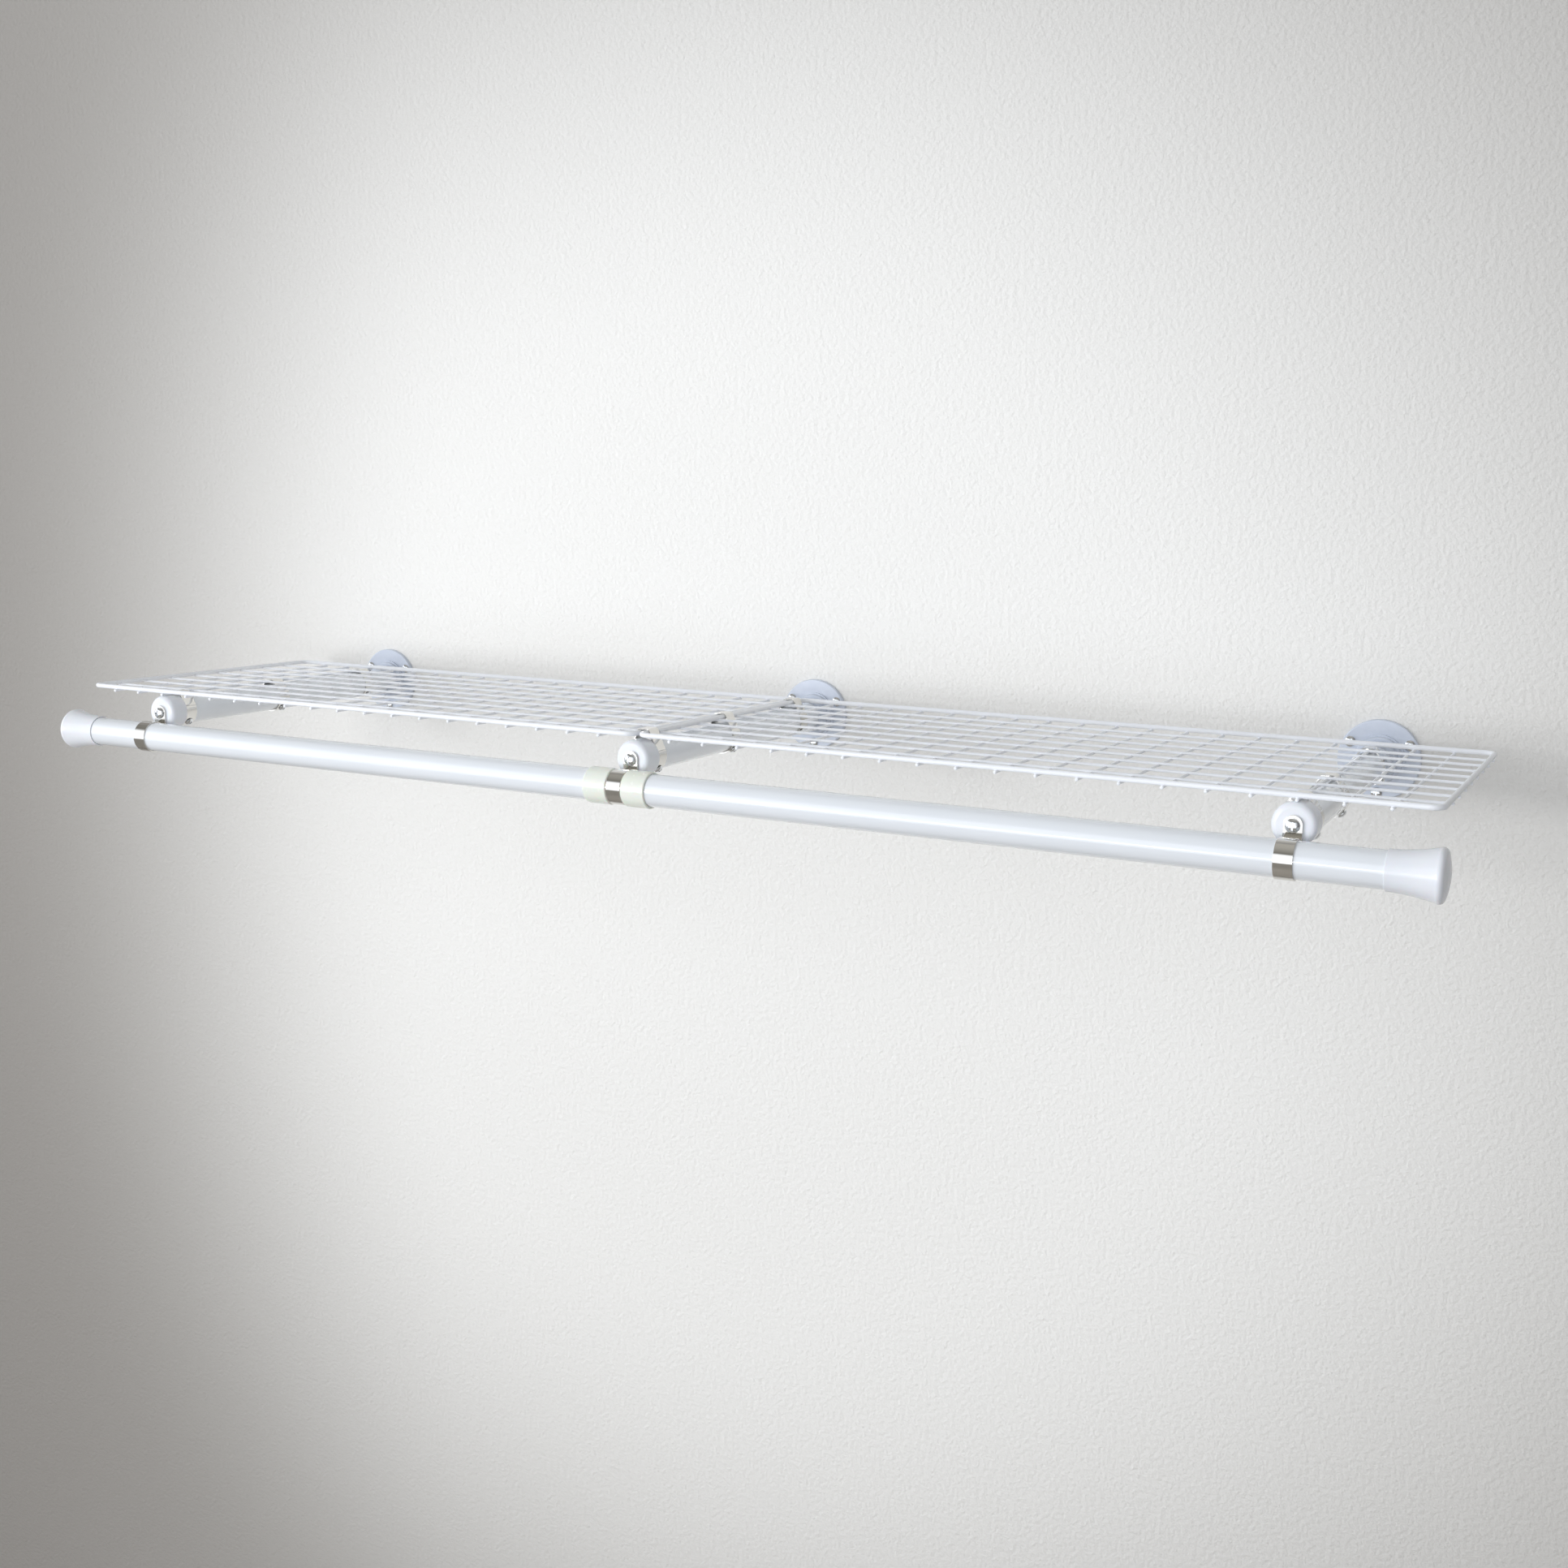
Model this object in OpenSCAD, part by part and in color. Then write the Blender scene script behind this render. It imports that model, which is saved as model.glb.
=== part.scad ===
// Wall shelf with two wire panels, three tube arms and a hanging rod.
// X runs along the wall, Y runs into the wall and Z is up, in millimetres.
// The origin is the centre of the back face of the middle wall flange.

/* [Arms] */
// Outer diameter of each arm tube
arm_d = 25.4; // [19:0.1:28]
// Wall thickness of each arm tube
arm_wall = 1.5; // [1:0.1:2.5]
// Distance from the wall to the front face of the arm caps
arm_reach = 317.5; // [260:0.5:400]
// Number of the cross wire that lies over each outer arm, counted from the middle
arm_wire_number = 17; // [12:1:18]
// Distance of each outer arm inside of its cross wire
arm_inset = 0.75; // [0:0.05:1.5]

/* [Wall flanges] */
// Diameter of the flange disc
flange_d = 65; // [62:0.5:80]
// Thickness of the flange disc
flange_t = 4; // [3:0.1:6]
// Radius of the rounded front edge of the disc
flange_edge_r = 1.2; // [0.4:0.1:1.4]
// Width of the low ring round the collar
ring_w = 1.5; // [1:0.1:3]
// Height of the low ring above the disc
ring_h = 1.6; // [0.8:0.1:3]
// Width of the collar round the hub
collar_w = 3.6; // [2:0.1:5]
// Height of the collar above the low ring
collar_h = 2.2; // [1:0.1:3]
// Radius of the rounded edge of the collar
collar_edge_r = 1.6; // [0.4:0.1:2]
// Wall thickness of the hub round the arm tube
hub_wall = 2.8; // [2:0.1:3.4]
// Distance from the wall to the front of the hub
hub_reach = 19; // [17:0.1:24]
// Thickness of the closed back of the hub
hub_floor = 3; // [2:0.1:5]
// Distance of the wall screws inside of the rim of the disc
wall_screw_inset = 5.9; // [5.5:0.1:7]

/* [Wall screws] */
// Diameter of a wall screw behind the flange
wall_screw_d = 4.2; // [3:0.1:4.6]
// Diameter of the thicker neck of a wall screw in the flange
wall_neck_d = 4.8; // [4.7:0.1:5.5]
// Diameter of a wall screw head
wall_head_d = 8.8; // [7:0.1:10]
// Height of a wall screw head
wall_head_h = 2.8; // [2:0.1:4]
// Length of a wall screw behind the flange
wall_screw_reach = 30; // [20:1:50]
// Length of the point of a wall screw
wall_screw_point = 5; // [3:0.5:8]

/* [Arm caps] */
// Wall thickness of the cap round the arm tube
cap_wall = 2.4; // [1.6:0.1:3]
// Length of the cap
cap_len = 17; // [14:0.5:22]
// Thickness of the front face of the cap
cap_face = 3; // [2:0.1:4]
// Radius of the rounded front edge of the cap
cap_edge_r = 4.2; // [2:0.1:4.8]
// Length of the plug in the arm tube past the back of the cap
cap_plug_extra = 3; // [1:0.5:4]

/* [Hanging rod] */
// Outer diameter of the rod tubes
rod_d = 25.4; // [22:0.1:28]
// Wall thickness of the rod tubes
rod_wall = 1.2; // [0.8:0.1:2]
// Distance of the rod axis below the arm axis
rod_drop = 19.8; // [18:0.1:24]
// Distance that the rod with its plugs reaches past the outer arms
rod_overhang = 100; // [80:0.5:140]
// Radial play between the rod and the straps
rod_play = 0.06; // [0.02:0.01:0.1]
// Length of the coupling between the two tubes
coupling_len = 56; // [48:0.5:80]
// Wall thickness of the coupling round a tube
coupling_wall = 1.6; // [1.3:0.05:2]
// Radius of the rounded edges of the coupling
coupling_edge_r = 1.2; // [0.3:0.1:1.3]
// Thickness of the two walls beside the groove of the coupling
coupling_web = 2.4; // [1.5:0.1:5]
// Play between the middle strap and each side of the groove
groove_play = 0.4; // [0.3:0.1:1]

/* [Rod plugs] */
// Whole length of a rod plug
plug_len = 38; // [35:0.5:50]
// Wall thickness of the plug at its open end
plug_wall = 0.9; // [0.6:0.1:2]
// Depth of the plug's socket for the tube
plug_socket = 24; // [16:0.5:30]
// Diameter of the wide end of the plug
plug_end_d = 36; // [33:0.1:42]
// Radius of the rounded rim of the plug
plug_rim_r = 3.4; // [2:0.1:4.5]
// Rise of the domed end face of the plug
plug_dome = 2.2; // [1:0.1:4]

/* [Straps and clips] */
// Width of the rod straps and the wire clips
strap_w = 12.7; // [11:0.1:14]
// Thickness of the rod straps
strap_t = 1; // [0.8:0.1:1.2]
// Height of the strap's tab above the screw
tab_top = 7; // [5.5:0.1:9]
// Thickness of the wire clips
clip_t = 1; // [0.6:0.1:1.2]
// Space between a front clip and the cap in front of it
clip_gap = 0.4; // [0.2:0.1:1]
// Turn of the clip screws from straight down towards the right
clip_screw_turn = 45; // [0:1:60]

/* [Small screws] */
// Diameter of a strap screw shank
strap_screw_d = 4.2; // [3:0.1:5]
// Diameter of a strap screw head
strap_head_d = 9.8; // [8:0.1:10.5]
// Height of a strap screw head
strap_head_h = 3; // [2.4:0.1:4]
// Length of a strap screw under its head
strap_screw_len = 19; // [14:0.5:20]
// Diameter of a clip screw shank
clip_screw_d = 3.5; // [2.5:0.1:4.2]
// Diameter of a clip screw head
clip_head_d = 7.6; // [6:0.1:9]
// Height of a clip screw head
clip_head_h = 2.6; // [2:0.1:3.5]
// Length of a clip screw under its head
clip_screw_len = 9; // [6:0.5:10]
// Diameter of the hub set screws
set_screw_d = 5; // [4:0.1:6]

/* [Wire panels] */
// Length of each wire panel
panel_len = 599; // [500:1:700]
// Gap between the wall and the panels
panel_back_gap = 32.7; // [28:0.1:45]
// Distance of the panel front behind the cap faces
panel_inset = 2.8; // [1:0.1:5]
// Diameter of the panel frame wire
frame_d = 4; // [3:0.1:4.5]
// Centre line radius of the frame corners
corner_r = 8; // [5:0.1:9]
// Diameter of the long and cross wires
wire_d = 2.2; // [1.6:0.1:2.6]
// Number of long wires in each panel
long_wires = 8; // [6:1:9]
// Number of cross wires in each panel
cross_wires = 19; // [18:1:22]
// Depth that a cross wire is welded into the frame
frame_weld = 0.2; // [0.1:0.1:0.4]
// Depth that a long wire is welded into a cross wire
wire_weld = 0.9; // [0.3:0.1:1]
// Length of wire that sticks out past the frame
wire_stub = 0.8; // [0.4:0.1:1.5]
// Space between the stubs of the two panels
stub_space = 0.4; // [0.2:0.1:1]

/* [Hidden] */
$fn = 64;
// Distance that lets a cut run past a face
eps = 0.5;
// Close fit between pieces that stay together
fit = 0.05;
arm_r = arm_d / 2;
rod_r = rod_d / 2;
hub_r = arm_r + hub_wall;
cap_r = arm_r + cap_wall;
frame_r = frame_d / 2;
wire_r = wire_d / 2;
flange_r = flange_d / 2;
collar_r = hub_r + collar_w;
ring_r = collar_r + ring_w;
collar_top = flange_t + ring_h + collar_h;
// Length of a wall screw's neck behind the flange
neck_past = 0.5;
// Play of the leaning wires in the clips
lean_play = 0.1;
// Depth that the flats of a clip are set into its bends
flat_inset = 0.04;
// Places of the panel wires
panel_in = wire_stub + stub_space / 2 + frame_r;
panel_out = panel_in + panel_len - frame_d;
panel_back = -panel_back_gap - frame_r;
panel_front = -arm_reach + panel_inset + frame_r;
long_pitch = (panel_back - panel_front) / (long_wires + 1);
cross_pitch = (panel_out - panel_in) / (cross_wires + 1);
// Heights of the wires where a panel rests on the back edge of a cap
cross_z = cap_r + fit + wire_r;
long_z = cross_z + wire_d - wire_weld;
frame_z = cross_z + wire_r + frame_r - frame_weld;
// Heights of the wires' tops under the middle and the outer clips
frame_top = frame_z + frame_r;
cross_top = cross_z + wire_r;
// Lean of the panels, which rest on the caps in front and on the thinner tubes behind
rest_y = -arm_reach + cap_len;
panel_tilt = atan((cap_r - arm_r) / (panel_back - rest_y));
// Places of the outer arms and the rod
arm_x = panel_in + arm_wire_number * cross_pitch - arm_inset;
band_r = rod_r + rod_play;
band_out = band_r + strap_t;
tab_t = 2 * strap_t;
rod_y = -arm_reach - band_out;
rod_z = -rod_drop;
// Places of the clips along the arms, each midway between two long wires
front_clip_y = -arm_reach + cap_len + clip_gap + strap_w / 2;
inner_clip_y = panel_front + 4.5 * long_pitch;
outer_clip_y = panel_front + 3.5 * long_pitch;
back_clip_y = panel_back - corner_r - clip_gap - strap_w / 2;
clip_out_r = arm_r + fit + clip_t;
// Places in the coupling and the plugs
groove_half = strap_w / 2 + groove_play;
socket_start = groove_half + coupling_web;
plug_start = arm_x + rod_overhang - plug_len;
plug_r = rod_r + fit + plug_wall;

// Round bar along X
module bar_x(x0, x1, y, z, r) {
    translate([x0, y, z])
        rotate([0, 90, 0])
            cylinder(r = r, h = x1 - x0);
}

// Round bar on an arm's axis, between two distances from the wall
module arm_bar(x, from, to, r) {
    translate([x, -from, 0])
        rotate([90, 0, 0])
            cylinder(r = r, h = to - from);
}

// Pan head with a cross recess, standing on the plane z = 0
module pan_head(head_d, head_h) {
    head_r = head_d / 2;
    side_h = head_h * 0.35;
    dome_h = head_h - side_h;
    dome_r = (dome_h * dome_h + head_r * head_r) / (2 * dome_h);
    recess_w = head_d * 0.13;
    recess_l = head_d * 0.56;
    recess_h = head_h * 0.55;
    difference() {
        intersection() {
            translate([0, 0, head_h - dome_r])
                sphere(r = dome_r);
            cylinder(r = head_r, h = head_h + eps);
        }
        translate([-recess_l / 2, -recess_w / 2, head_h - recess_h])
            cube([recess_l, recess_w, recess_h + eps]);
        translate([-recess_w / 2, -recess_l / 2, head_h - recess_h])
            cube([recess_w, recess_l, recess_h + eps]);
    }
}

// Pan head screw, with its shank below the plane z = 0
module pan_screw(head_d, head_h, shank_d, shank_len) {
    pan_head(head_d, head_h);
    translate([0, 0, -shank_len])
        cylinder(d = shank_d, h = shank_len + head_h * 0.2);
}

// Puts its child on each of the three wall screw places, facing the room
module wall_screw_places(x) {
    for (turn = [30, 150, 270])
        translate([x, 0, 0])
            rotate([0, -turn, 0])
                translate([flange_r - wall_screw_inset, -flange_t, 0])
                    rotate([90, 0, 0])
                        children();
}

// Puts its child on the place of the set screw under the hub
module set_screw_place(x) {
    translate([x, -(collar_top + hub_reach) / 2, -arm_r - fit - hub_wall])
        children();
}

// Half section of the disc with its low ring and collar
module flange_section() {
    square([flange_r, flange_t - flange_edge_r]);
    square([flange_r - flange_edge_r, flange_t]);
    translate([flange_r - flange_edge_r, flange_t - flange_edge_r])
        circle(r = flange_edge_r);
    square([ring_r, flange_t + ring_h]);
    square([collar_r, collar_top - collar_edge_r]);
    square([collar_r - collar_edge_r, collar_top]);
    translate([collar_r - collar_edge_r, collar_top - collar_edge_r])
        circle(r = collar_edge_r);
    square([hub_r, hub_reach]);
}

// Wall flange with the socket for its arm
module flange(x) {
    color("lightsteelblue")
    difference() {
        translate([x, 0, 0])
            rotate([90, 0, 0])
                rotate_extrude()
                    flange_section();
        arm_bar(x, hub_floor, hub_reach + eps, arm_r + fit);
        wall_screw_places(x)
            translate([0, 0, -flange_t - eps])
                cylinder(d = wall_neck_d + 2 * fit, h = flange_t + 2 * eps);
        set_screw_place(x)
            translate([0, 0, -eps])
                cylinder(d = set_screw_d + 2 * fit, h = hub_wall + 2 * eps);
    }
}

// Three wall screws of one flange
module wall_screws(x) {
    straight = flange_t + wall_screw_reach - wall_screw_point;
    color("silver")
    wall_screw_places(x) {
        pan_screw(wall_head_d, wall_head_h, wall_neck_d, flange_t + neck_past);
        translate([0, 0, -straight])
            cylinder(d = wall_screw_d, h = straight);
        translate([0, 0, -straight - wall_screw_point])
            cylinder(d1 = wall_screw_d / 8, d2 = wall_screw_d, h = wall_screw_point);
    }
}

// Grub screw with a hexagon socket that holds the arm tube in the hub
module set_screw(x) {
    color("dimgray")
    set_screw_place(x)
        difference() {
            cylinder(d = set_screw_d, h = hub_wall);
            translate([0, 0, -eps])
                cylinder(d = set_screw_d * 0.55, h = hub_wall * 0.6 + eps, $fn = 6);
        }
}

// Puts its child on the outside of a clip, where the clip screw's head sits
module clip_screw_place(x, y) {
    translate([x, y, 0])
        rotate([0, 180 - clip_screw_turn, 0])
            translate([0, 0, clip_out_r])
                children();
}

// Hole for a clip screw through the clip and the arm tube
module clip_screw_hole(x, y) {
    clip_screw_place(x, y)
        translate([0, 0, -clip_screw_len])
            cylinder(d = clip_screw_d + 2 * fit, h = clip_screw_len + eps);
}

// Arm tube from the hub to the face of the cap
module arm(x, clips) {
    color("white")
    difference() {
        arm_bar(x, hub_floor + fit, arm_reach - cap_face - fit, arm_r);
        arm_bar(x, 0, arm_reach, arm_r - arm_wall);
        for (y = clips)
            clip_screw_hole(x, y);
    }
}

// Half section of the cap, with its front face at zero
module cap_section() {
    inner_r = arm_r - arm_wall - fit;
    plug_end = cap_len + cap_plug_extra;
    difference() {
        union() {
            square([cap_r - cap_edge_r, cap_len]);
            translate([0, cap_edge_r])
                square([cap_r, cap_len - cap_edge_r]);
            translate([cap_r - cap_edge_r, cap_edge_r])
                circle(r = cap_edge_r);
            square([inner_r, plug_end]);
        }
        translate([inner_r, cap_face])
            square([arm_wall + 2 * fit, plug_end]);
        square([strap_screw_d / 2 + fit, plug_end]);
    }
}

// Cap over the end of an arm tube, with a plug inside the tube
module cap(x) {
    color("whitesmoke")
    translate([x, -arm_reach, 0])
        rotate([-90, 0, 0])
            rotate_extrude()
                cap_section();
}

// Strap with a band round the rod and a tab on the cap's face
module rod_strap(x) {
    half_w = strap_w / 2;
    color("gainsboro")
    difference() {
        union() {
            bar_x(x - half_w, x + half_w, rod_y, rod_z, band_out);
            translate([x, -arm_reach, 0])
                rotate([90, 0, 0])
                    linear_extrude(tab_t)
                        tab_outline();
        }
        bar_x(x - half_w - eps, x + half_w + eps, rod_y, rod_z, band_r);
        arm_bar(x, arm_reach - eps, arm_reach + tab_t + eps, strap_screw_d / 2 + fit);
    }
}

// Front view of the strap's tab, with a round top
module tab_outline() {
    half_w = strap_w / 2;
    translate([-half_w, rod_z])
        square([strap_w, rod_drop + tab_top - half_w]);
    translate([0, tab_top - half_w])
        circle(r = half_w);
}

// Screw that holds a strap on its cap
module strap_screw(x) {
    color("silver")
    translate([x, -arm_reach - tab_t, 0])
        rotate([90, 0, 0])
            pan_screw(strap_head_d, strap_head_h, strap_screw_d, strap_screw_len);
}

// Rod tube between the coupling and a plug, for the right side
module rod_tube() {
    tube_end = plug_start + plug_socket - fit;
    color("white")
    difference() {
        bar_x(socket_start + fit, tube_end, rod_y, rod_z, rod_r);
        bar_x(0, tube_end + eps, rod_y, rod_z, rod_r - rod_wall);
    }
}

// Half section of one end of the coupling, from its middle at zero
module coupling_section() {
    half = coupling_len / 2;
    sleeve_r = rod_r + fit + coupling_wall;
    difference() {
        union() {
            square([rod_r, half]);
            translate([0, groove_half])
                square([sleeve_r - coupling_edge_r, half - groove_half]);
            translate([0, groove_half + coupling_edge_r])
                square([sleeve_r, half - groove_half - 2 * coupling_edge_r]);
            for (edge = [groove_half + coupling_edge_r, half - coupling_edge_r])
                translate([sleeve_r - coupling_edge_r, edge])
                    circle(r = coupling_edge_r);
        }
        square([rod_r - rod_wall, half]);
        translate([0, socket_start])
            square([rod_r + fit, half]);
    }
}

// Coupling with a socket for each tube and a groove for the middle strap
module rod_coupling() {
    color("antiquewhite")
    translate([0, rod_y, rod_z])
        rotate([0, 90, 0])
            rotate_extrude()
                for (side = [0, 1])
                    mirror([0, side])
                        coupling_section();
}

// Half section of the right plug, from its open end at zero
module plug_section() {
    end_r = plug_end_d / 2;
    lip_r = plug_wall / 2;
    flare_len = plug_len - plug_rim_r - plug_dome;
    flare_rise = end_r - plug_r;
    flare_r = (flare_len * flare_len + flare_rise * flare_rise) / (2 * flare_rise);
    rim_at = end_r - plug_rim_r;
    dome_to_rim = (rim_at * rim_at + plug_dome * plug_dome) / (2 * plug_dome);
    dome_r = dome_to_rim + plug_rim_r;
    dome_edge = rim_at * dome_r / dome_to_rim;
    difference() {
        union() {
            difference() {
                translate([0, lip_r])
                    square([end_r, flare_len - lip_r]);
                translate([plug_r + flare_r, 0])
                    circle(r = flare_r, $fn = 256);
            }
            translate([plug_r - lip_r, lip_r])
                circle(r = lip_r);
            translate([rim_at, flare_len])
                circle(r = plug_rim_r);
            intersection() {
                translate([0, plug_len - dome_r])
                    circle(r = dome_r, $fn = 256);
                translate([0, flare_len - eps])
                    square([dome_edge, plug_len]);
            }
        }
        square([rod_r + fit, plug_socket]);
        translate([-dome_r, 0])
            square([dome_r, plug_len + eps]);
    }
}

// Plug over the end of the right rod tube
module rod_plug() {
    color("whitesmoke")
    translate([plug_start, rod_y, rod_z])
        rotate([0, 90, 0])
            rotate_extrude()
                plug_section();
}

// Height above the arms' axes of a plane of the leaning panel, at a place along the arms
function leaning(z, y) = cap_r + (z - cap_r) / cos(panel_tilt) - (y - rest_y) * tan(panel_tilt);

// Loop round the arm and the wires on it, whose tops are at a height, grown by a distance
module clip_outline(wires_top, grow) {
    wire_z = wires_top - frame_r;
    big_r = arm_r + fit + grow;
    top_r = frame_r + lean_play + grow;
    lean = atan2(wire_z, panel_in) - acos((big_r - top_r) / norm([panel_in, wire_z]));
    side = [cos(lean), sin(lean)];
    low = (big_r - flat_inset) * side;
    high = [panel_in, wire_z] + (top_r - flat_inset) * side;
    top = wire_z + top_r - flat_inset;
    circle(r = big_r);
    for (x = [-panel_in, panel_in])
        translate([x, wire_z])
            circle(r = top_r);
    polygon([low, high, [panel_in, top], [-panel_in, top], [-high[0], high[1]], [-low[0], low[1]]]);
}

// Clip that ties the panels down on an arm, over wires with their tops at a height
module clip(x, y, wires_top) {
    color("gainsboro")
    difference() {
        translate([x, y + strap_w / 2, 0])
            rotate([90, 0, 0])
                linear_extrude(strap_w)
                    difference() {
                        clip_outline(leaning(wires_top, y), clip_t);
                        clip_outline(leaning(wires_top, y), 0);
                    }
        clip_screw_hole(x, y);
    }
}

// The three clip screws of one arm
module clip_screws(x, clips) {
    color("silver")
    for (y = clips)
        clip_screw_place(x, y)
            pan_screw(clip_head_d, clip_head_h, clip_screw_d, clip_screw_len);
}

// Leans its child back, about the back edge of the caps
module on_rests() {
    translate([0, rest_y, cap_r])
        rotate([-panel_tilt, 0, 0])
            translate([0, -rest_y, -cap_r])
                children();
}

// Frame wire of the right panel, with round corners
module panel_frame() {
    corners = [
        [panel_in, panel_front, 180],
        [panel_out, panel_front, 270],
        [panel_out, panel_back, 0],
        [panel_in, panel_back, 90]];
    mid = [(panel_in + panel_out) / 2, (panel_front + panel_back) / 2];
    color("white")
    on_rests() {
        for (y = [panel_front, panel_back])
            bar_x(panel_in + corner_r, panel_out - corner_r, y, frame_z, frame_r);
        for (x = [panel_in, panel_out])
            translate([x, panel_front + corner_r, frame_z])
                rotate([-90, 0, 0])
                    cylinder(r = frame_r, h = panel_back - panel_front - 2 * corner_r);
        for (c = corners)
            translate([c[0] + sign(mid[0] - c[0]) * corner_r,
                c[1] + sign(mid[1] - c[1]) * corner_r, frame_z])
                rotate([0, 0, c[2]])
                    rotate_extrude(angle = 90)
                        translate([corner_r, 0])
                            circle(r = frame_r);
    }
}

// Long wires of the right panel, which run along the wall
module long_wires() {
    color("white")
    on_rests()
        for (i = [1 : long_wires])
            bar_x(panel_in - frame_r - wire_stub, panel_out + frame_r + wire_stub,
                panel_front + i * long_pitch, long_z, wire_r);
}

// Cross wires of the right panel, which run from front to back
module cross_wires() {
    past = frame_r + wire_stub;
    color("white")
    on_rests()
        for (i = [1 : cross_wires])
            translate([panel_in + i * cross_pitch, panel_front - past, cross_z])
                rotate([-90, 0, 0])
                    cylinder(r = wire_r, h = panel_back - panel_front + 2 * past);
}

// Mirrors its child to the left side
module left_side() {
    mirror([1, 0, 0])
        children();
}

left_clips = [front_clip_y, inner_clip_y, back_clip_y];
middle_clips = [front_clip_y, inner_clip_y, back_clip_y];
right_clips = [front_clip_y, outer_clip_y, back_clip_y];

flange(-arm_x);  // left_flange
flange(0);  // middle_flange
flange(arm_x);  // right_flange
wall_screws(-arm_x);  // left_wall_screws
wall_screws(0);  // middle_wall_screws
wall_screws(arm_x);  // right_wall_screws
set_screw(-arm_x);  // left_set_screw
set_screw(0);  // middle_set_screw
set_screw(arm_x);  // right_set_screw
arm(-arm_x, left_clips);  // left_arm
arm(0, middle_clips);  // middle_arm
arm(arm_x, right_clips);  // right_arm
cap(-arm_x);  // left_cap
cap(0);  // middle_cap
cap(arm_x);  // right_cap
rod_strap(-arm_x);  // left_rod_strap
rod_strap(0);  // middle_rod_strap
rod_strap(arm_x);  // right_rod_strap
strap_screw(-arm_x);  // left_strap_screw
strap_screw(0);  // middle_strap_screw
strap_screw(arm_x);  // right_strap_screw
left_side() rod_tube();  // left_rod_tube
rod_tube();  // right_rod_tube
rod_coupling();
left_side() rod_plug();  // left_rod_plug
rod_plug();  // right_rod_plug
left_side() panel_frame();  // left_panel_frame
left_side() long_wires();  // left_long_wires
left_side() cross_wires();  // left_cross_wires
panel_frame();  // right_panel_frame
long_wires();  // right_long_wires
cross_wires();  // right_cross_wires
clip(-arm_x, left_clips[0], cross_top);  // left_front_clip
clip(-arm_x, left_clips[1], cross_top);  // left_mid_clip
clip(-arm_x, left_clips[2], cross_top);  // left_back_clip
clip(0, middle_clips[0], frame_top);  // middle_front_clip
clip(0, middle_clips[1], frame_top);  // middle_mid_clip
clip(0, middle_clips[2], frame_top);  // middle_back_clip
clip(arm_x, right_clips[0], cross_top);  // right_front_clip
clip(arm_x, right_clips[1], cross_top);  // right_mid_clip
clip(arm_x, right_clips[2], cross_top);  // right_back_clip
clip_screws(-arm_x, left_clips);  // left_clip_screws
clip_screws(0, middle_clips);  // middle_clip_screws
clip_screws(arm_x, right_clips);  // right_clip_screws
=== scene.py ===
"""Wall shelf of wire panels on three tube arms, with a hanging rod strapped under its front."""

import math

import bmesh
import bpy
from mathutils import Matrix, Vector


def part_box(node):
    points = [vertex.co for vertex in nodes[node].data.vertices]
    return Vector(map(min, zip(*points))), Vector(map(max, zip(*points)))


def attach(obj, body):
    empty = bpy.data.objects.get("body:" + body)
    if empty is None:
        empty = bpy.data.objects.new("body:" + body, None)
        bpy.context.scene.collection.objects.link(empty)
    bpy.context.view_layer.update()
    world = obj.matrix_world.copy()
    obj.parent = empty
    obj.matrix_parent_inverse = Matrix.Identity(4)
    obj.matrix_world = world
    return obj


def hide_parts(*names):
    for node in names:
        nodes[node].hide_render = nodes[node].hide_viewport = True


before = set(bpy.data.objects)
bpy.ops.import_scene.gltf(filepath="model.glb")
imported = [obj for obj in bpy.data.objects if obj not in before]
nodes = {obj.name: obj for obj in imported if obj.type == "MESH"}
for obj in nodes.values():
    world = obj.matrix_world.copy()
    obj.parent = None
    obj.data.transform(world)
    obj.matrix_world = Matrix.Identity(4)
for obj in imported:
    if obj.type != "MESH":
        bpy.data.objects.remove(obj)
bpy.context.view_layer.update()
sides = ("left", "right")
arms = ("left", "middle", "right")
mm = 0.001

# Camera. It stands a little above the shelf and to the right of its middle, and looks
# down and to the left at it through a normal lens on a square frame.
camera_place = Vector((0.7422, -1.469, 0.2207))
camera_turn = math.radians(27.82)
camera_tilt = math.radians(-9.919)
camera_roll = math.radians(0.636)
camera_data = bpy.data.cameras.new("camera")
camera_data.sensor_width = 36.0
camera_data.lens = 40.716
camera = bpy.data.objects.new("camera", camera_data)
camera.matrix_world = (
    Matrix.Translation(camera_place)
    @ Matrix.Rotation(camera_turn, 4, "Z")
    @ Matrix.Rotation(math.radians(90) + camera_tilt, 4, "X")
    @ Matrix.Rotation(camera_roll, 4, "Z"))
scene = bpy.context.scene
scene.collection.objects.link(camera)
scene.camera = camera
scene.view_settings.view_transform = "Standard"


# Wall. Plaster under matt off-white emulsion, rolled on, which leaves a fine orange peel.
# It stands at the back faces of the flanges, is open under them, and shows from the room's
# side only. Its colour holds painted light and shade: bright in the middle of the shelf, it fades
# to painted shade away from it, and most of all to the left.
# Wall colours for the painted light in the middle and the painted shade at the edges, and where one
# fades into the other.
wall_painted_light = "F1F0ED"
wall_painted_shade = "999590"
wall_peel = 4.4 * mm
wall_peel_height = 1.3 * mm
painted_light_middle = (-0.1, 0, -0.147)
painted_light_radii = (0.44, 1.28)
painted_light_outside = 0.17
painted_shade_left = (-0.395, -1.3)
painted_light_far_left = 0.056
wall_half_width = 3.2
wall_top = 2.4
floor_level = -1.5
flange_rim = 1 * mm


def linear(colour):
    """An sRGB hex colour as the linear colour that a shader takes."""
    channels = [int(colour[i:i + 2], 16) / 255 for i in (0, 2, 4)]
    return [c / 12.92 if c <= 0.04045 else ((c + 0.055) / 1.055) ** 2.4 for c in channels] + [1]


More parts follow.
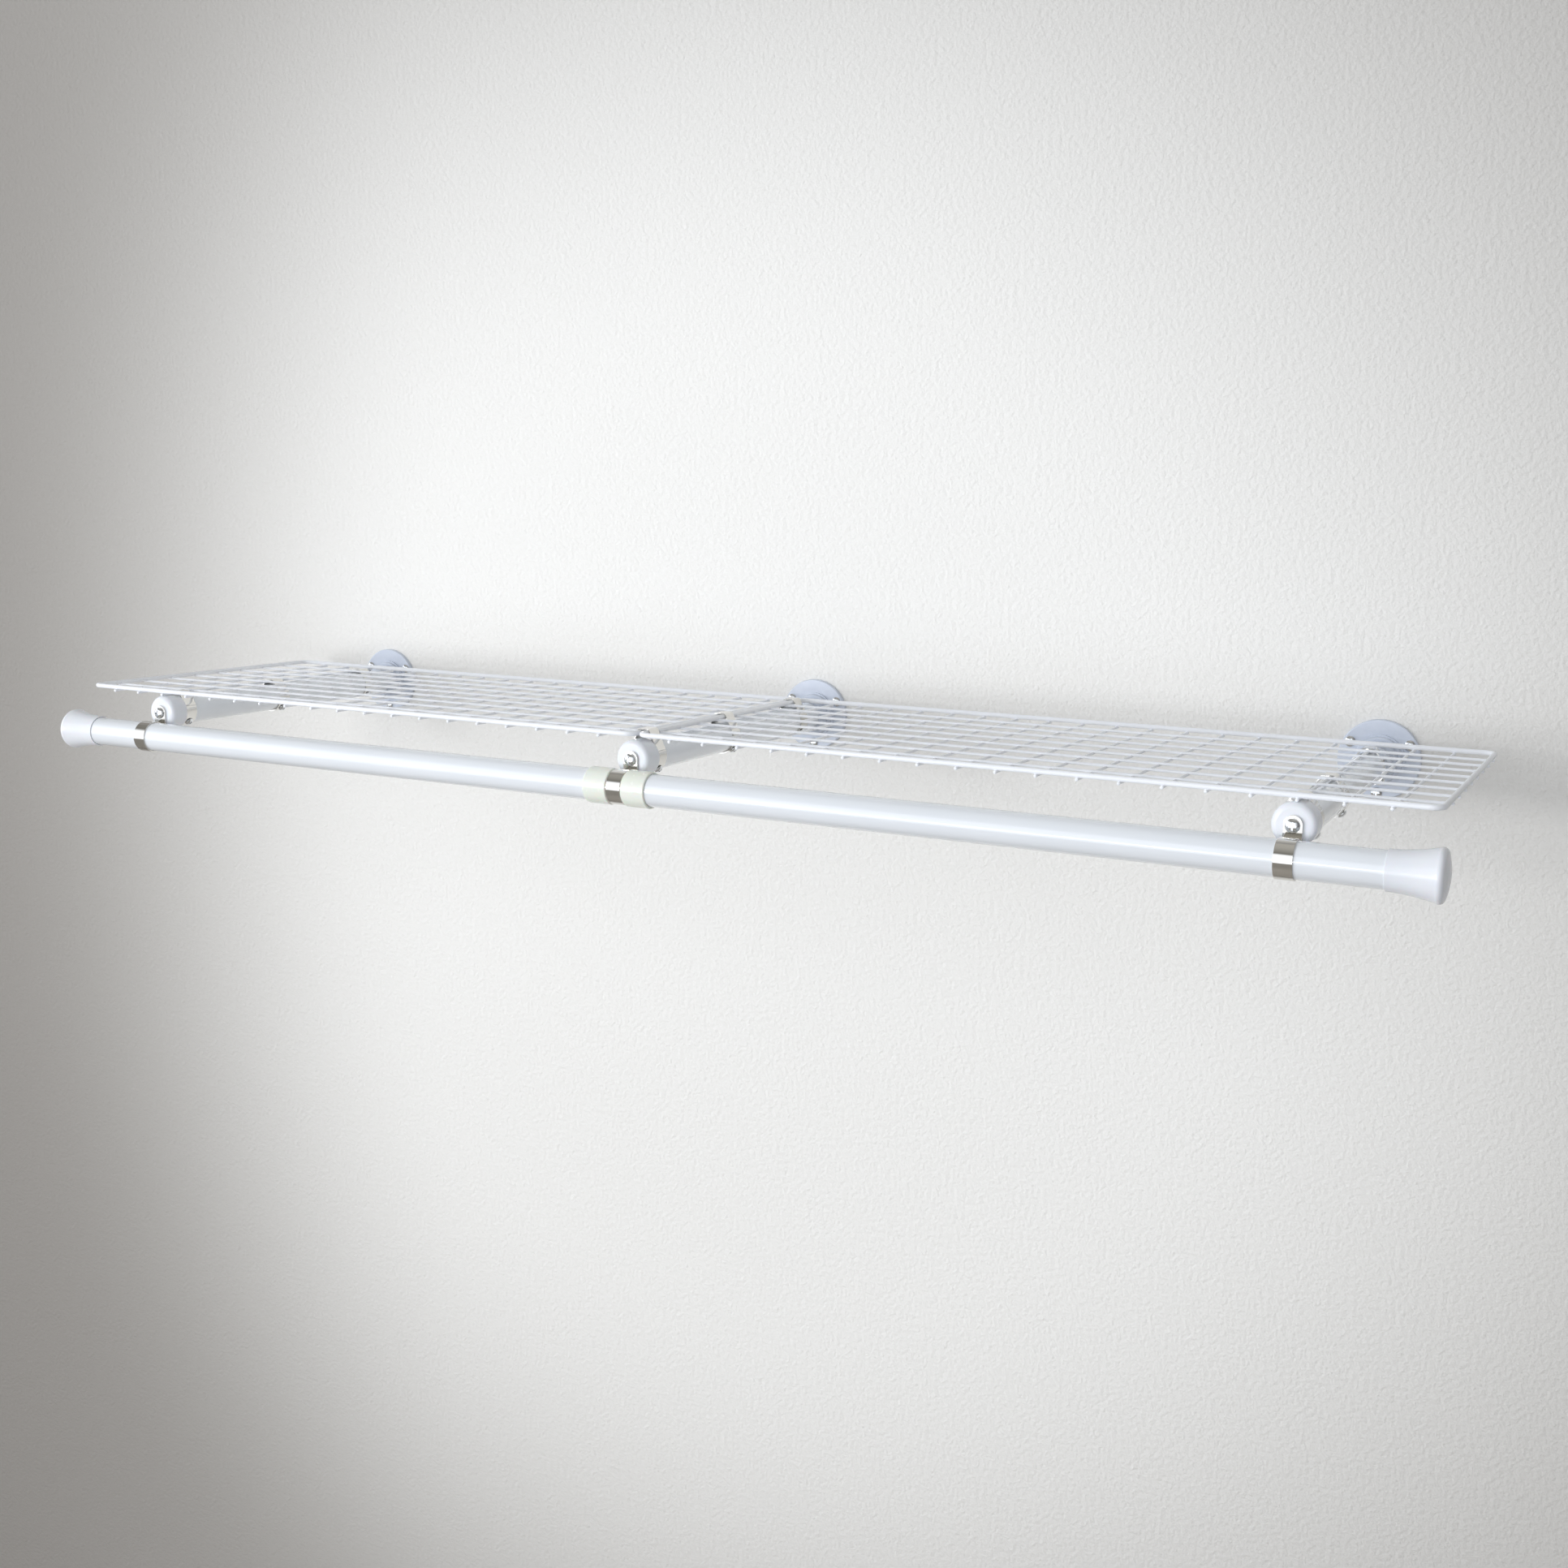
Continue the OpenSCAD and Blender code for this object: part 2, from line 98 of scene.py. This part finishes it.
def add_node(tree, kind, inputs=(), **settings):
    """A new node with its settings, and its inputs by name or number as values or sockets."""
    node = tree.nodes.new(kind)
    for name, value in settings.items():
        setattr(node, name, value)
    for name, value in dict(inputs).items():
        if isinstance(value, bpy.types.NodeSocket):
            tree.links.new(value, node.inputs[name])
        else:
            node.inputs[name].default_value = value
    return node


def new_finish(name, colour, **values):
    """A material with one shader, and the object coordinates that its patterns lie in."""
    material = bpy.data.materials.new(name)
    material.use_nodes = True
    tree = material.node_tree
    tree.nodes.clear()
    place = add_node(tree, "ShaderNodeTexCoord").outputs["Object"]
    shader = add_node(tree, "ShaderNodeBsdfPrincipled", {"Base Color": linear(colour)})
    for socket, value in values.items():
        shader.inputs[socket.replace("_", " ")].default_value = value
    add_node(tree, "ShaderNodeOutputMaterial", {"Surface": shader.outputs[0]})
    return material, tree, place, shader


def add_bumps(tree, place, shader, size, height, detail=2.0):
    """Raises bumps of a size and a height, in metres, on the shader."""
    noise = add_node(tree, "ShaderNodeTexNoise",
                     {"Vector": place, "Scale": 1 / size, "Detail": detail, "Roughness": 0.55})
    bump = add_node(tree, "ShaderNodeBump",
                    {"Height": noise.outputs[0], "Strength": 1.0, "Distance": height})
    tree.links.new(bump.outputs[0], shader.inputs["Normal"])


def mixed(tree, share, low, high):
    """The colour between two hex colours at a share from 0 to 1."""
    return add_node(tree, "ShaderNodeMix", {0: share, 6: linear(low), 7: linear(high)},
                    data_type="RGBA").outputs[2]


def flat_piece(name, corners):
    """A mesh object of one four-sided face."""
    mesh = bpy.data.meshes.new(name)
    mesh.from_pydata(corners, [], [(0, 1, 2, 3)])
    piece = bpy.data.objects.new(name, mesh)
    scene.collection.objects.link(piece)
    return piece


wall_paint, tree, place, shader = new_finish("matt_emulsion_painted_light", wall_painted_light, Roughness=0.85)
add_bumps(tree, place, shader, wall_peel, wall_peel_height)
# Painted light and shade: the wall colour is bright around a middle point near the shelf and fades
# to a painted shade outwards, most of all to the left.
off_middle = add_node(tree, "ShaderNodeVectorMath",
                      {0: place, 1: painted_light_middle}, operation="DISTANCE").outputs["Value"]
round_painted_light = add_node(tree, "ShaderNodeMapRange", {
    0: off_middle, 1: painted_light_radii[0], 2: painted_light_radii[1], 3: 1.0, 4: painted_light_outside},
    interpolation_type="SMOOTHSTEP").outputs[0]
along_wall = add_node(tree, "ShaderNodeSeparateXYZ", {0: place}).outputs[0]
painted_light_left_fall = add_node(tree, "ShaderNodeMapRange", {
    0: along_wall, 1: painted_shade_left[0], 2: painted_shade_left[1], 3: 1.0, 4: painted_light_far_left},
    interpolation_type="SMOOTHSTEP").outputs[0]
painted_light_share = add_node(tree, "ShaderNodeMath", {0: round_painted_light, 1: painted_light_left_fall}, operation="MULTIPLY")
tree.links.new(mixed(tree, painted_light_share.outputs[0], wall_painted_shade, wall_painted_light), shader.inputs["Base Color"])
see_through = add_node(tree, "ShaderNodeNewGeometry").outputs["Backfacing"]
for arm in arms:
    low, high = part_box(f"{arm}_flange")
    to_flange = add_node(tree, "ShaderNodeVectorMath", {
        0: place, 1: ((low.x + high.x) / 2, 0, (low.z + high.z) / 2)}, operation="DISTANCE")
    covered = add_node(tree, "ShaderNodeMath", {
        0: to_flange.outputs["Value"], 1: (high.x - low.x) / 2 - flange_rim}, operation="LESS_THAN")
    see_through = add_node(tree, "ShaderNodeMath", {
        0: see_through, 1: covered.outputs[0]}, operation="MAXIMUM").outputs[0]
wall_skin = add_node(tree, "ShaderNodeMixShader", {
    0: see_through,
    1: shader.outputs[0],
    2: add_node(tree, "ShaderNodeBsdfTransparent").outputs[0]})
tree.links.new(wall_skin.outputs[0], tree.nodes["Material Output"].inputs["Surface"])
wall = flat_piece("wall", [
    (-wall_half_width, 0, floor_level), (wall_half_width, 0, floor_level),
    (wall_half_width, 0, wall_top), (-wall_half_width, 0, wall_top)])
wall.data.materials.append(wall_paint)

# Floor. A plain pale floor at the height below which such a shelf is hung.
floor_half = 6.0
floor_paint, tree, place, shader = new_finish("pale_floor", "C2BDB7", Roughness=0.7)
floor = flat_piece("floor", [
    (-floor_half, -floor_half, floor_level), (floor_half, -floor_half, floor_level),
    (floor_half, floor_half, floor_level), (-floor_half, floor_half, floor_level)])
floor.data.materials.append(floor_paint)

# Light. A soft lamp stands in front and to the left, a little above the shelf, so the shadow
# of the wires stays low on the wall. A long strip, level with the rod, draws a line of light
# along it. A pale belt of room on the front left fills in the rest, under a grey ceiling.
shelf_middle = Vector((0, -0.16, 0))
lamps = (
    ("soft_lamp", Vector((-0.9, -1.9, 0.08)), (0.3, 0.4), 8.0),
    ("strip_lamp", Vector((-0.3, -2.23, -0.04)), (1.4, 0.16), 4.8))
pale_way = (-0.7, -0.7, 0)
pale_turn = (-0.15, 0.65)
belt_pale = ("EDF1F7", 1.95)
belt_dim = ("C8C8C8", 0.34)
belt_top = (0.42, 0.62)
ceiling = ("D2D0CA", 0.38, 0.85)
for name, place, size, power in lamps:
    lamp_data = bpy.data.lights.new(name, "AREA")
    lamp_data.shape = "RECTANGLE"
    lamp_data.size, lamp_data.size_y = size
    lamp_data.energy = power
    lamp = bpy.data.objects.new(name, lamp_data)
    lamp.location = place
    lamp.rotation_euler = (shelf_middle - place).to_track_quat("-Z", "Y").to_euler()
    scene.collection.objects.link(lamp)
world = bpy.data.worlds.new("pale_room")
world.use_nodes = True
scene.world = world
tree = world.node_tree
tree.nodes.clear()
way = add_node(tree, "ShaderNodeTexCoord").outputs["Generated"]
height = add_node(tree, "ShaderNodeSeparateXYZ", {0: way}).outputs[2]
towards = add_node(tree, "ShaderNodeVectorMath", {0: way, 1: pale_way}, operation="DOT_PRODUCT")
paleness = add_node(tree, "ShaderNodeMapRange", {
    0: towards.outputs["Value"], 1: pale_turn[0], 2: pale_turn[1]},
    interpolation_type="SMOOTHSTEP").outputs[0]
over_belt = add_node(tree, "ShaderNodeMapRange", {
    0: height, 1: belt_top[0], 2: belt_top[1]},
    interpolation_type="SMOOTHSTEP").outputs[0]
overhead = add_node(tree, "ShaderNodeMapRange", {
    0: height, 1: belt_top[1], 2: 1.0, 3: ceiling[1], 4: ceiling[2]}).outputs[0]
belt = add_node(tree, "ShaderNodeMixShader", {
    0: paleness,
    1: add_node(tree, "ShaderNodeBackground",
                {"Color": linear(belt_dim[0]), "Strength": belt_dim[1]}).outputs[0],
    2: add_node(tree, "ShaderNodeBackground",
                {"Color": linear(belt_pale[0]), "Strength": belt_pale[1]}).outputs[0]})
room = add_node(tree, "ShaderNodeMixShader", {
    0: over_belt,
    1: belt.outputs[0],
    2: add_node(tree, "ShaderNodeBackground",
                {"Color": linear(ceiling[0]), "Strength": overhead}).outputs[0]})
add_node(tree, "ShaderNodeOutputWorld", {"Surface": room.outputs[0]})


# Wall flanges. Die-cast zinc alloy discs with a stepped hub, tumbled and given a thin
# blue-grey coat. Their turned steps catch the light as fine bright lines.
hard_angle = math.radians(25)
flat_angle = math.radians(0.2)
weld_reach = 0.002 * mm
flat_weight = 80


def vary(tree, place, shader, socket, size, low, high):
    """Lets a shader value drift between two values over patches of a size."""
    noise = add_node(tree, "ShaderNodeTexNoise",
                     {"Vector": place, "Scale": 1 / size, "Detail": 3.0})
    drift = add_node(tree, "ShaderNodeMapRange",
                     {0: noise.outputs[0], 1: 0.3, 2: 0.7, 3: low, 4: high})
    tree.links.new(drift.outputs[0], shader.inputs[socket])


def tint(tree, place, shader, size, low, high):
    """Lets the colour drift between two hex colours over patches of a size."""
    noise = add_node(tree, "ShaderNodeTexNoise",
                     {"Vector": place, "Scale": 1 / size, "Detail": 3.0})
    tree.links.new(mixed(tree, noise.outputs[0], low, high), shader.inputs["Base Color"])


def new_piece(name, shape, material, body="shelf"):
    """A finished piece from a bmesh, with its material, which moves with a body."""
    mesh = bpy.data.meshes.new(name)
    shape.to_mesh(mesh)
    shape.free()
    if "custom_normal" in mesh.attributes:
        mesh.attributes.remove(mesh.attributes["custom_normal"])
    mesh.shade_smooth()
    mesh.materials.clear()
    mesh.materials.append(material)
    piece = bpy.data.objects.new(name, mesh)
    scene.collection.objects.link(piece)
    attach(piece, body)
    return piece


def dressed(node, material, edge, body="shelf"):
    """Stands in for a carried-over piece, with whole flat faces and its hard edges rounded."""
    shape = bmesh.new()
    shape.from_mesh(nodes[node].data)
    bmesh.ops.remove_doubles(shape, verts=shape.verts, dist=weld_reach)
    bmesh.ops.dissolve_limit(shape, angle_limit=flat_angle, verts=shape.verts, edges=shape.edges)
    piece = new_piece(f"{node}_finished", shape, material, body)
    rounding = piece.modifiers.new("rounded_edges", "BEVEL")
    rounding.width = edge
    rounding.segments = 2
    rounding.limit_method = "ANGLE"
    rounding.angle_limit = hard_angle
    shading = piece.modifiers.new("flat_faces", "WEIGHTED_NORMAL")
    shading.weight = flat_weight
    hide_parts(node)
    return piece


flange_coat, tree, place, shader = new_finish(
    "blue_grey_cast_zinc", "CED5E1", Metallic=0.15, Roughness=0.4, Coat_Weight=0.15)
tint(tree, place, shader, 9 * mm, "C7CFDD", "D6DCE8")
vary(tree, place, shader, "Roughness", 4 * mm, 0.34, 0.48)
add_bumps(tree, place, shader, 0.9 * mm, 0.02 * mm)
for arm in arms:
    dressed(f"{arm}_flange", flange_coat, 0.35 * mm)

# Bright screws. Steel pan heads with a cross recess, rolled and zinc plated, which stay
# bright on the crown and grey in the recess.
zinc_plate, tree, place, shader = new_finish(
    "bright_zinc_plate", "E4E6E8", Metallic=1.0, Roughness=0.15)
vary(tree, place, shader, "Roughness", 1.5 * mm, 0.1, 0.22)
add_bumps(tree, place, shader, 0.5 * mm, 0.006 * mm)
for arm in arms:
    for kind in ("wall_screws", "strap_screw", "clip_screws"):
        dressed(f"{arm}_{kind}", zinc_plate, 0.15 * mm)

# Set screws. Grub screws under the hubs, blackened by an oxide bath and oiled.
black_oxide, tree, place, shader = new_finish(
    "black_oxide", "3C3C40", Metallic=1.0, Roughness=0.45)
vary(tree, place, shader, "Roughness", 1.0 * mm, 0.36, 0.55)
for arm in arms:
    dressed(f"{arm}_set_screw", black_oxide, 0.15 * mm)

# Arms and rod tubes. Welded steel tube under baked white enamel, glossy and a little blue,
# with a very fine orange peel.
enamel, tree, place, shader = new_finish(
    "white_baked_enamel", "E7ECF1", Roughness=0.22, Coat_Weight=1.0, Coat_Roughness=0.04)
tint(tree, place, shader, 60 * mm, "E5EAF0", "EAEEF3")
vary(tree, place, shader, "Roughness", 12 * mm, 0.16, 0.24)
add_bumps(tree, place, shader, 1.8 * mm, 0.004 * mm)
for arm in arms:
    dressed(f"{arm}_arm", enamel, 0.2 * mm)
for side in sides:
    dressed(f"{side}_rod_tube", enamel, 0.2 * mm, "hanging_rod")

# Arm caps and rod plugs. Injection moulded polypropylene, smooth and waxy, with a soft
# shine and light that goes a little way in.
moulded_white, tree, place, shader = new_finish(
    "white_moulded_polypropylene", "E8EBF1", Roughness=0.24, IOR=1.49,
    Subsurface_Weight=0.08, Subsurface_Scale=1.5 * mm)
tint(tree, place, shader, 25 * mm, "E4E8EF", "ECEEF3")
vary(tree, place, shader, "Roughness", 6 * mm, 0.16, 0.26)
add_bumps(tree, place, shader, 1.2 * mm, 0.006 * mm)
for arm in arms:
    dressed(f"{arm}_cap", moulded_white, 0.3 * mm)
for side in sides:
    dressed(f"{side}_rod_plug", moulded_white, 0.3 * mm, "hanging_rod")

# Rod coupling. A moulded sleeve of natural nylon, which is cream and slightly translucent.
nylon, tree, place, shader = new_finish(
    "natural_nylon", "EDEFE6", Roughness=0.2, IOR=1.53,
    Subsurface_Weight=0.2, Subsurface_Scale=3 * mm)
tint(tree, place, shader, 18 * mm, "EAEDE3", "F0F2EA")
vary(tree, place, shader, "Roughness", 5 * mm, 0.18, 0.28)
add_bumps(tree, place, shader, 1.0 * mm, 0.006 * mm)
dressed("rod_coupling", nylon, 0.2 * mm, "hanging_rod")

# Rod straps and wire clips. Bright nickel plated strip, cold rolled along its length, so
# it mirrors the room with fine lines across the view.
nickel, tree, place, shader = new_finish(
    "bright_nickel_strip", "DAD8D3", Metallic=1.0, Roughness=0.07)
vary(tree, place, shader, "Roughness", 3 * mm, 0.04, 0.11)
add_bumps(tree, place, shader, 4 * mm, 0.004 * mm)
for arm in arms:
    dressed(f"{arm}_rod_strap", nickel, 0.25 * mm)
    for row in ("front", "mid", "back"):
        dressed(f"{arm}_{row}_clip", nickel, 0.2 * mm)

# Wire panels. Drawn steel wires, welded at each crossing and dipped in white polythene,
# which leaves a soft satin skin.
dipped_white, tree, place, shader = new_finish(
    "white_dipped_polythene", "F3F6FB", Roughness=0.32, IOR=1.51)
tint(tree, place, shader, 40 * mm, "F1F4FA", "F6F8FC")
vary(tree, place, shader, "Roughness", 8 * mm, 0.3, 0.44)
add_bumps(tree, place, shader, 2.0 * mm, 0.02 * mm)
for side in sides:
    for part in ("panel_frame", "long_wires", "cross_wires"):
        for slot in nodes[f"{side}_{part}"].material_slots:
            slot.material = dipped_white

# Welds and wire tips. The dip fills the notches at each weld and leaves a rounded drop on
# each cut wire end. Every kind is one grid of beads in the plane of its panel.
frame_wire = 4.0 * mm
wire = 2.2 * mm
long_wires = 8
cross_wires = 19
cross_depth = -2.9 * mm
long_depth = -1.6 * mm
tip_reach = 2.3 * mm
long_tip_reach = 2.1 * mm
crossing_bead = (1.5 * mm, 1.5 * mm, 0.9 * mm)
frame_bead = (1.5 * mm, 1.7 * mm, 0.8 * mm)
side_bead = (2.4 * mm, 1.5 * mm, 1.3 * mm)
cross_tip = (1.3 * mm, 0.9 * mm, 1.3 * mm)
long_tip = (0.7 * mm, 1.3 * mm, 1.3 * mm)
bead_sink = 0.1 * mm
bead_play = 0.12 * mm
bead_inputs = (
    ("Columns", "Int"), ("Rows", "Int"), ("Pitch", "Vector"), ("Radii", "Vector"),
    ("Play", "Float"), ("Seed", "Int"), ("Material", "Material"))


def new_bead_tree():
    """Beads on a grid of columns and rows, each a little off its place and its size."""
    tree = bpy.data.node_groups.new("beads_on_a_grid", "GeometryNodeTree")
    for name, kind in bead_inputs:
        tree.interface.new_socket(name, in_out="INPUT", socket_type=f"NodeSocket{kind}")
    tree.interface.new_socket("Beads", in_out="OUTPUT", socket_type="NodeSocketGeometry")
    given = add_node(tree, "NodeGroupInput").outputs
    index = add_node(tree, "GeometryNodeInputIndex").outputs[0]
    column = add_node(tree, "ShaderNodeMath", {0: index, 1: given["Columns"]}, operation="MODULO")
    turns = add_node(tree, "ShaderNodeMath", {0: index, 1: given["Columns"]}, operation="DIVIDE")
    row = add_node(tree, "ShaderNodeMath", {0: turns.outputs[0]}, operation="FLOOR")
    steps = add_node(tree, "ShaderNodeCombineXYZ", {0: column.outputs[0], 1: row.outputs[0]})
    on_grid = add_node(tree, "ShaderNodeVectorMath", {
        0: steps.outputs[0], 1: given["Pitch"]}, operation="MULTIPLY")
    any_way = add_node(tree, "FunctionNodeRandomValue", {
        0: (-1, -1, -1), 1: (1, 1, 1), "Seed": given["Seed"]}, data_type="FLOAT_VECTOR")
    off_grid = add_node(tree, "ShaderNodeVectorMath", {
        0: any_way.outputs[0], "Scale": given["Play"]}, operation="SCALE")
    spot = add_node(tree, "ShaderNodeVectorMath", {
        0: on_grid.outputs[0], 1: off_grid.outputs[0]}, operation="ADD")
    number = add_node(tree, "ShaderNodeMath", {
        0: given["Columns"], 1: given["Rows"]}, operation="MULTIPLY")
    points = add_node(tree, "GeometryNodePoints", {
        "Count": number.outputs[0], "Position": spot.outputs[0]})
    ball = add_node(tree, "GeometryNodeMeshIcoSphere", {"Radius": 1.0, "Subdivisions": 3})
    growth = add_node(tree, "FunctionNodeRandomValue", {
        2: 0.9, 3: 1.1, "Seed": given["Seed"]}, data_type="FLOAT")
    size = add_node(tree, "ShaderNodeVectorMath", {
        0: given["Radii"], "Scale": growth.outputs[1]}, operation="SCALE")
    beads = add_node(tree, "GeometryNodeInstanceOnPoints", {
        "Points": points.outputs[0], "Instance": ball.outputs[0], "Scale": size.outputs[0]})
    whole = add_node(tree, "GeometryNodeRealizeInstances", {0: beads.outputs[0]})
    finished = add_node(tree, "GeometryNodeSetMaterial", {
        "Geometry": whole.outputs[0], "Material": given["Material"]})
    add_node(tree, "NodeGroupOutput", {0: finished.outputs[0]})
    return tree


def add_beads(shape, place, columns, rows, pitch, radii, seed):
    """Bakes a grid of beads into a bmesh, at the place of its first bead."""
    values = {"Columns": columns, "Rows": rows, "Pitch": (*pitch, 0), "Radii": radii,
              "Play": bead_play, "Seed": seed, "Material": dipped_white}
    carrier = bpy.data.objects.new("beads", bpy.data.meshes.new("beads"))
    scene.collection.objects.link(carrier)
    modifier = carrier.modifiers.new("beads", "NODES")
    modifier.node_group = bead_tree
    for socket in bead_tree.interface.items_tree:
        if socket.in_out == "INPUT":
            modifier[socket.identifier] = values[socket.name]
    graph = bpy.context.evaluated_depsgraph_get()
    baked = bpy.data.meshes.new_from_object(carrier.evaluated_get(graph), depsgraph=graph)
    baked.transform(place)
    shape.from_mesh(baked)
    bpy.data.objects.remove(carrier)


bead_tree = new_bead_tree()
frame_r = frame_wire / 2
for side in sides:
    low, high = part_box(f"{side}_panel_frame")
    front = Vector((low.x + frame_r, low.y + frame_r, high.z - frame_r))
    back = Vector((high.x - frame_r, high.y - frame_r, low.z + frame_r))
    lean = math.atan2(back.z - front.z, back.y - front.y)
    plane = Matrix.Translation(front) @ Matrix.Rotation(lean, 4, "X")
    width = back.x - front.x
    depth = math.hypot(back.y - front.y, back.z - front.z)
    step = (width / (cross_wires + 1), depth / (long_wires + 1))
    crossing_depth = (cross_depth + long_depth) / 2
    grids = (
        ((*step, crossing_depth), cross_wires, long_wires, step, crossing_bead),
        ((step[0], 0, cross_depth + wire / 2 - bead_sink), cross_wires, 2,
         (step[0], depth), frame_bead),
        ((0, step[1], long_depth), 2, long_wires, (width, step[1]), side_bead),
        ((step[0], -tip_reach, cross_depth - bead_sink), cross_wires, 2,
         (step[0], depth + 2 * tip_reach), cross_tip),
        ((-long_tip_reach, step[1], long_depth), 2, long_wires,
         (width + 2 * long_tip_reach, step[1]), long_tip))
    shape = bmesh.new()
    for seed, (first, columns, rows, pitch, radii) in enumerate(grids):
        add_beads(shape, plane @ Matrix.Translation(first), columns, rows, pitch, radii, seed)
    new_piece(f"{side}_welds", shape, dipped_white)
